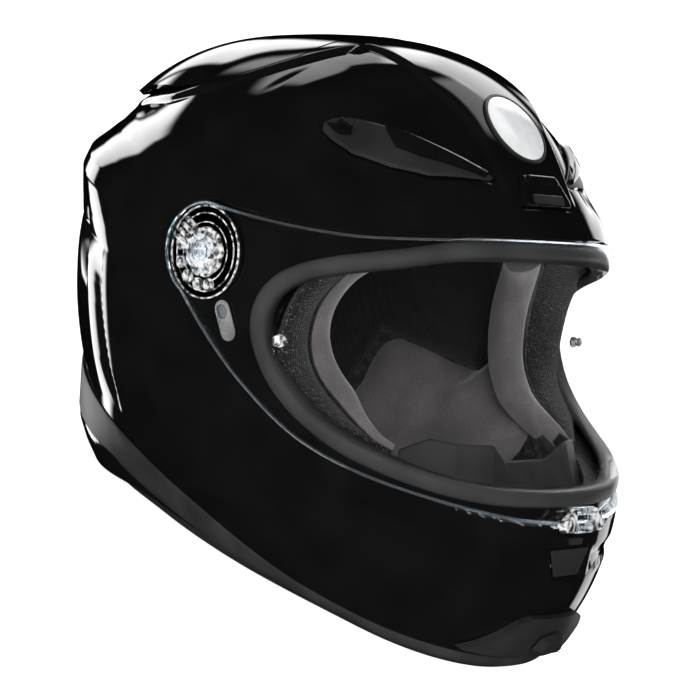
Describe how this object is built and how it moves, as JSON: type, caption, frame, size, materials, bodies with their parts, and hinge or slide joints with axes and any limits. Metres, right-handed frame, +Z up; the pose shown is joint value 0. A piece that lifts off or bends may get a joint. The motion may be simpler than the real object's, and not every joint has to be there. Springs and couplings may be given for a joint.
{
  "type": "motorcycle helmet",
  "caption": "Full-face motorcycle helmet with a clear flip-up visor, sliding vents, foam liner, fabric lining and a chin strap with closing rings.",
  "frame": {"origin": "middle of the helmet's footprint, on the plane it rests on", "axes": "+Z up, the wearer faces -Y, X runs across the helmet with the wearer's left at +X"},
  "size_m": [0.2582, 0.3512, 0.2645],
  "materials": {
    "shell_black": "gloss",
    "vent_satin": "satin",
    "trim_rubber": "satin",
    "gasket_rubber": "satin",
    "visor_clear": "gloss",
    "clear_hardware": "gloss",
    "frosted_plastic": "satin",
    "foam": "matte",
    "lining_fabric": "matte",
    "pad_fabric": "matte",
    "deflector_rubber": "matte",
    "webbing": "matte",
    "steel": "satin",
    "snap_plastic": "satin",
    "badge_enamel": "gloss"
  },
  "bodies": {
    "helmet": {"anchor_rivets": "steel", "breath_deflector": "deflector_rubber", "brow_vent_cover_left": "shell_black", "brow_vent_cover_right": "shell_black", "centre_vent_scoop": "shell_black", "cheek_core_left": "foam", "cheek_core_right": "foam", "cheek_pad_left": "pad_fabric", "cheek_pad_right": "pad_fabric", "cheek_pad_snaps": "snap_plastic", "chin_curtain": "lining_fabric", "chin_liner": "foam", "chin_strap_left": "webbing", "chin_strap_right": "webbing", "chin_vent_grille": "vent_satin", "crown_lining": "lining_fabric", "edge_trim": "trim_rubber", "eyeport_gasket": "gasket_rubber", "front_badge": "badge_enamel", "impact_liner": "foam", "lower_chin_cover": "vent_satin", "neck_roll": "lining_fabric", "outer_shell": "shell_black", "rear_exhaust_vent": "shell_black", "rear_spoiler": "shell_black", "strap_anchor_left": "steel", "strap_anchor_right": "steel", "strap_sleeve_left": "webbing", "strap_sleeve_right": "webbing", "visor_base_plate_left": "clear_hardware", "visor_base_plate_right": "clear_hardware", "visor_catch": "vent_satin", "visor_pivot_cap_left": "clear_hardware", "visor_pivot_cap_right": "clear_hardware"},
    "visor": {"visor": "visor_clear", "anti_fog_insert": "visor_clear", "insert_pins": "frosted_plastic", "visor_tab": "clear_hardware"},
    "visor_latch": {"visor_latch": "vent_satin"},
    "release_lever_right": {"release_lever_right": "frosted_plastic"},
    "release_lever_left": {"release_lever_left": "frosted_plastic"},
    "brow_slider_right": {"brow_vent_slider_right": "vent_satin"},
    "brow_slider_left": {"brow_vent_slider_left": "vent_satin"},
    "centre_slider": {"centre_vent_slider": "vent_satin"},
    "chin_button": {"chin_vent_button": "vent_satin"},
    "lower_ring": {"d_ring_lower": "steel"},
    "upper_ring": {"d_ring_upper": "steel"}
  },
  "joints": [
    {"name": "visor_hinge", "type": "hinge", "parent": "helmet", "child": "visor", "pos_m": [0, 0.005, 0.152], "axis": [-1, 0, 0], "range_deg": [0, 40]},
    {"name": "visor_latch_slide", "type": "slide", "parent": "visor", "child": "visor_latch", "axis": [0, 0.324, 0.9461], "range_m": [0, 0.0018]},
    {"name": "release_lever_right_slide", "type": "slide", "parent": "helmet", "child": "release_lever_right", "axis": [0.08, -0.6197, -0.7807], "range_m": [0, 0.004]},
    {"name": "release_lever_left_slide", "type": "slide", "parent": "helmet", "child": "release_lever_left", "axis": [-0.08, -0.6197, -0.7807], "range_m": [0, 0.004]},
    {"name": "brow_vent_right_slide", "type": "slide", "parent": "helmet", "child": "brow_slider_right", "axis": [0.1307, -0.9147, -0.3825], "range_m": [0, 0.009]},
    {"name": "brow_vent_left_slide", "type": "slide", "parent": "helmet", "child": "brow_slider_left", "axis": [-0.1307, -0.9147, -0.3825], "range_m": [0, 0.009]},
    {"name": "centre_vent_slide", "type": "slide", "parent": "helmet", "child": "centre_slider", "axis": [0, 0.7212, 0.6928], "range_m": [0, 0.005]},
    {"name": "chin_vent_slide", "type": "slide", "parent": "helmet", "child": "chin_button", "axis": [0, -0.2474, 0.9689], "range_m": [0, 0.004]},
    {"name": "lower_ring_hinge", "type": "hinge", "parent": "helmet", "child": "lower_ring", "pos_m": [0.014, 0.025, 0.0078], "axis": [0, 1, 0], "range_deg": [-15, 8]},
    {"name": "upper_ring_hinge", "type": "hinge", "parent": "helmet", "child": "upper_ring", "pos_m": [0.014, 0.025, 0.0162], "axis": [0, 1, 0], "range_deg": [-6, 60]}
  ]
}
